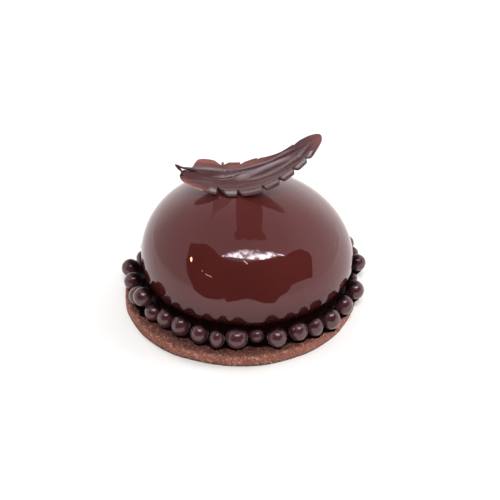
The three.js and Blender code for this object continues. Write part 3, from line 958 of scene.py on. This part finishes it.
def spine_frame(share):
    """Point, sideways and upward directions on the spine's Bezier curve."""
    u = share[..., None]
    p0, p1, p2, p3 = SPINE
    point = (1 - u) ** 3 * p0 + 3 * u * (1 - u) ** 2 * p1 + 3 * u**2 * (1 - u) * p2 + u**3 * p3
    forward = (1 - u) ** 2 * (p1 - p0) + 2 * u * (1 - u) * (p2 - p1) + u**2 * (p3 - p2)
    forward /= np.linalg.norm(forward, axis=-1, keepdims=True)
    sideways = np.cross([0.0, 0.0, 1.0], forward)
    sideways /= np.linalg.norm(sideways, axis=-1, keepdims=True)
    return point, sideways, np.cross(forward, sideways)


def leaf_surface(share, across):
    """Where a point of the leaf lies, and which way its upper face looks. Going across, the
    section is an arc that starts at the tilt and curls by so much for each millimetre."""
    lean = ROOT_LEAN * np.clip(-across, 0.0, None) / FEATHER_LENGTH
    point, sideways, upward = spine_frame(share - lean * (1 - share) ** ROOT_POWER)
    tilt = (FEATHER_TILT + FEATHER_CURL * across)[..., None]
    point = point + sideways * (np.sin(tilt) - math.sin(FEATHER_TILT)) / FEATHER_CURL
    point = point + upward * (math.cos(FEATHER_TILT) - np.cos(tilt)) / FEATHER_CURL
    normal = upward * np.cos(tilt) - sideways * np.sin(tilt)
    return point, normal


# %% [markdown]
# The blade's marks are ridges and grooves that run along the leaf. Each is a bell curve
# across the leaf whose middle follows a line of places, and the front edge is one more
# section: a crest, a slope that faces the light, a thin groove, then the edge itself.

# %% Press the ridges into the leaf
# Each ridge or groove: shares of the length, its distance across from the spine there in
# millimetres (less than 0 is toward the front), its height and its half width.
RIDGES = [
    ((0.00, 0.12, 0.20, 0.33, 0.50, 0.62, 0.74, 0.90), (1.2, 1.45, 1.4, 0.65, 0.5, 0.6, 0.1, 0.8),
     0.38, 0.50),
    ((0.28, 0.41, 0.54, 0.71, 0.81, 0.96), (0.2, -0.35, 0.0, -0.1, -0.5, -0.4), -0.22, 0.30),
    ((0.25, 0.35, 0.49, 0.60), (-1.2, -1.45, -0.95, -0.45), 0.14, 0.28),
    ((0.15, 0.28, 0.35, 0.49, 0.60), (-2.35, -2.3, -2.4, -1.55, -1.6), -0.28, 0.32),
    ((0.25, 0.35, 0.49, 0.60), (-3.45, -3.15, -2.3, -2.25), 0.16, 0.35),
    ((0.44, 0.54, 0.70, 0.86), (-1.8, -1.5, -1.35, -1.4), 0.32, 0.85),
    ((0.55, 0.70, 0.86), (-3.2, -3.1, -2.6), -0.22, 0.80),
    ((0.52, 0.65, 0.76, 0.80, 0.865, 0.915, 0.945, 0.98), (-4.7, -5.0, -5.0, -4.65, -3.6, -2.1, -0.95, -0.6),
     0.30, 0.50),
    ((0.83, 0.88, 0.915, 0.95, 0.98), (-5.8, -4.55, -3.05, -2.35, -1.2), -0.26, 0.55),
    ((0.03, 0.165, 0.27), (-0.4, -1.35, -1.8), -0.22, 1.00),
]
RIDGE_FADE = 0.08
CRUMB_SHARE, CRUMB_ACROSS, CRUMB_SIZE = 0.298, -6.25, 0.32
# A broad band of painted satin sheen, listed as a ridge is.
SATIN_SHEEN = ((0.42, 0.53, 0.60, 0.66, 0.73, 0.90), (-2.9, -2.9, -2.6, -1.95, -1.75, -1.8), 1.0, 0.95)


def along_line(share, across, shares, places, height, width):
    """One ridge: a bell across the leaf round its line, faded in and out along the leaf."""
    first, last = shares[0], shares[-1]
    fade = ease(share, first, first + RIDGE_FADE) * (1.0 - ease(share, last - RIDGE_FADE, last))
    return height * fade * bell(across, np.interp(share, shares, places), width)


def ridge_relief(share, across):
    """The sum of all ridges, and one stray crumb."""
    relief = sum(along_line(share, across, *ridge) for ridge in RIDGES)
    along = (share - CRUMB_SHARE) * FEATHER_LENGTH
    return relief + CRUMB_SIZE * bell(along, 0.0, CRUMB_SIZE) * bell(across, CRUMB_ACROSS, CRUMB_SIZE)


def lip_reach(share):
    """The lip starts near a quarter of the length and ends just before the tip."""
    return ease(share, 0.20, 0.24) * (1.0 - ease(share, 0.93, 0.98))


def lip_relief(share, from_front):
    """A crest 1.9 mm in from the front edge as it was before its nicks, then a slope down to
    a groove near the edge."""
    section = 0.22 * bell(from_front, 1.9, 0.45) - 0.50 * (1.0 - ease(from_front, 0.5, 1.75))
    section -= 0.12 * bell(from_front, 0.5, 0.16)
    return section * lip_reach(share)


def leaf_thickness(share, across):
    """1 mm at the front, 0.5 mm behind the spine and at the root, 0.35 mm at the tip."""
    front = 0.5 + 0.5 * ease(share, 0.08, 0.26)
    body = front + (0.5 - front) * ease(across, 0.0, 3.0)
    return body + (0.35 - body) * ease(share, 0.78, 0.97)


def glow_through(share, across, from_front):
    """How much painted light glows through the leaf, 0 to 0.8 in red and up to 1 in a pale glow at
    its very rim: most on the lobe behind the root, then the margin before it, the back strip and the tip."""
    lobe = 0.72 * ease(across, 1.7, 3.6) * (1 - ease(share, 0.24, 0.40))
    margin = 0.42 * (1 - ease(from_front, 0.2, 2.4)) * ease(share, 0.02, 0.06) * (1 - ease(share, 0.16, 0.24))
    rim = (1 - ease(from_front, 0.05, 0.30)) * ease(share, 0.03, 0.07) * (1 - ease(share, 0.17, 0.22))
    strip = 0.42 * ease(across, 0.8, 1.8) * ease(share, 0.28, 0.42) * (1 - ease(share, 0.62, 0.86))
    tip = 0.38 * ease(share, 0.93, 1.0)
    return np.maximum.reduce([lobe, margin, rim, strip, tip])


def leaf_tone(share, across, from_front, streaks):
    """Painted shade and sheen, -1 for painted shade in a groove to 1 for painted sheen on a crest:
    the ridges' own heights, one broad band of painted satin sheen, painted light on the lip's
    slope and shade in its groove, painted shade at the end of the root with a painted highlight
    in the scoop beside it, painted shade inside the nicks, and fine streaks."""
    tone = sum(along_line(share, across, s, p, math.copysign(0.50, h), 0.65 * w) for s, p, h, w in RIDGES)
    tone *= 0.55 + 0.45 * ease(share, 0.15, 0.35)
    tone += 0.55 * along_line(share, across, *SATIN_SHEEN)
    tone += (0.50 * bell(from_front, 1.1, 0.45) - 0.80 * bell(from_front, 0.5, 0.14)) * lip_reach(share)
    root = 1.0 - (1.0 - np.clip(across / 3.2, -0.97, 0.0) ** 2) ** (1.0 / ROOT_ROUND)
    beside = ease(across, -2.9, -2.4) * (1 - ease(across, -0.3, 0.1))
    tone -= 1.20 * (1 - ease((share - root) * FEATHER_LENGTH, 0.40, 0.75)) * beside
    tone += 0.80 * bell(share * FEATHER_LENGTH, 1.7, 0.6) * bell(across, -0.2, 0.35)
    cut = nick_depth(FRONT_NICKS, share)
    tone -= 0.9 * ease(cut, 0.2, 0.9) * (1.0 - ease(from_front - cut, 0.3, 1.0))
    return np.clip(tone + 3.0 * streaks, -1.0, 1.0)


# %% Press out the leaf
LEAF_LEAST = 0.22


def leaf_faces(columns, rows):
    """Quads of the upper and the lower face and of the four walls between them. The upper
    face's points come first, column by column."""
    top = np.roll(grid_faces(columns, rows, ring=False)[:, ::-1], 1, axis=1)
    below = columns * rows
    bottom = top[:, ::-1] + below
    i, j = np.arange(columns - 1), np.arange(rows - 1)
    walls = []
    for start, step, place, flip in ((0, rows, i, False), (rows - 1, rows, i, True), (0, 1, j, True),
                                     (below - rows, 1, j, False)):
        a = start + place * step
        b = a + step
        wall = np.stack([a, a + below, b + below, b], axis=-1)
        walls.append(wall[:, ::-1] if flip else wall)
    return np.concatenate([top, bottom, *walls])


def make_leaf(columns=560, front_rows=46, back_rows=20):
    """The upper and the lower face lie half the thickness above and below the middle, which
    rounds off at the edges, plus the relief, and are never closer than the least."""
    share = np.clip(0.5 - 0.5 * np.cos(np.linspace(0.0, np.pi, columns)), 0.0004, 0.9996)[:, None]
    front = feather_width(FRONT_WIDTHS, FRONT_NICKS, share)
    back = feather_width(BACK_WIDTHS, BACK_NICKS, share) * ease(share, *SHOULDER)
    back = np.maximum(back, EDGE_LEAST)
    to_front = np.sin(np.linspace(-np.pi / 2, 0.0, front_rows + 1))
    to_back = np.sin(np.linspace(0.0, np.pi / 2, back_rows + 1))[1:]
    across = np.concatenate([front * to_front, back * to_back], axis=1)
    whole_front = feather_width(FRONT_WIDTHS, [], share) + across
    share = np.repeat(share, across.shape[1], axis=1)
    from_front = front + across
    from_edge = np.where(across < 0, from_front, back - across)
    thick = leaf_thickness(share, across)
    round_off = np.clip(from_edge / (0.5 * thick), 0.0, 1.0)
    half = 0.5 * thick * np.sqrt(1.0 - (1.0 - round_off) ** 2 * 0.92)
    point, normal = leaf_surface(share, across)
    middle = point - normal * (0.5 * thick)[..., None]
    inside = ease(from_edge, 0.1, 1.0)
    ridges = ridge_relief(share, across) * inside
    streaks = 0.035 * soft_noise(np.stack([share * 9.0, across / 0.55, 0 * across], axis=-1), 1.0, 41)
    wave = 0.10 * soft_noise(point, 6.0, 42)
    up = half + ridges + lip_relief(share, whole_front) + streaks * inside + wave
    down = np.minimum(0.35 * ridges + wave - half, up - LEAF_LEAST)
    points = np.concatenate([(middle + normal * offset[..., None]).reshape(-1, 3) for offset in (up, down)])
    leaf = make_piece("feather_leaf", points, leaf_faces(*across.shape).tolist(), feather_chocolate)
    # Painted light through the leaf, then painted shade and sheen.
    paint_points(leaf, "thin", np.tile(glow_through(share, across, from_front).reshape(-1), 2))
    paint_points(leaf, "tone", np.tile(leaf_tone(share, across, whole_front, streaks).reshape(-1), 2))
    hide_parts("chocolate_feather")
    return leaf


leaf = make_leaf()
print("feather points:", len(leaf.data.vertices))

# %% [markdown]
# The quill is the bare end of the spine, a bent thorn that grows out of the leaf. Near its tip
# a second one branches off, the rim of the leaf that the knife left standing, and comes back
# to the leaf's front corner, so a small hole stays between the two.

# %% Grow the quill
# Each thorn from the leaf to its tip: x, y, z and radius.
THORNS = {
    "feather_quill": [
        (-13.9, 4.6, 45.20, 0.50), (-15.17, 4.6, 45.65, 0.60), (-16.45, 4.6, 45.88, 0.52),
        (-17.72, 4.6, 46.17, 0.38), (-18.61, 4.6, 46.45, 0.35), (-19.60, 4.6, 46.90, 0.42),
        (-20.50, 4.6, 47.58, 0.18),
    ],
    "feather_rim": [
        (-18.95, 2.4, 44.55, 0.18), (-18.52, 3.1, 44.86, 0.30), (-18.34, 3.7, 45.17, 0.36),
        (-18.70, 4.2, 45.57, 0.38), (-19.45, 4.5, 46.20, 0.42), (-20.38, 4.6, 47.25, 0.24),
    ],
}
# The thorns are darkened all over: painted shade.
THORN_SHADE = -0.35


def make_thorn(name, stations, rows=40, columns=24):
    """Rings round a smooth line through the stations. Their first axis is sideways, square to
    the line's direction, and their second is square to both."""
    share = np.linspace(0.0, 1.0, rows)
    x, y, z, radius = (along_stations(column, share)[:, None] for column in np.array(stations).T)
    line = np.concatenate([x, y, z], axis=1)
    forward = np.gradient(line, axis=0)
    forward /= np.linalg.norm(forward, axis=1, keepdims=True)
    sideways = np.array([0.0, 1.0, 0.0]) - forward[:, 1:2] * forward
    sideways /= np.linalg.norm(sideways, axis=1, keepdims=True)
    upward = np.cross(forward, sideways)
    around = full_turn(columns)[None, :, None]
    ring = np.cos(around) * sideways[:, None] + np.sin(around) * upward[:, None]
    points, faces = closed_turn(line[:, None] + radius[..., None] * ring, line[0], line[-1])
    thorn = make_piece(name, points, faces, feather_chocolate)
    # No painted glow, and painted shade all over.
    paint_points(thorn, "thin", np.zeros(len(points)))
    paint_points(thorn, "tone", np.full(len(points), THORN_SHADE))
    return thorn


thorns = [make_thorn(name, stations) for name, stations in THORNS.items()]
print("thorns:", [thorn.name for thorn in thorns])

# %% [markdown]
# ## Finish
#
# The picture keeps straight colours, so white card stays white.

# %% Finish
scene.view_settings.view_transform = "Standard"
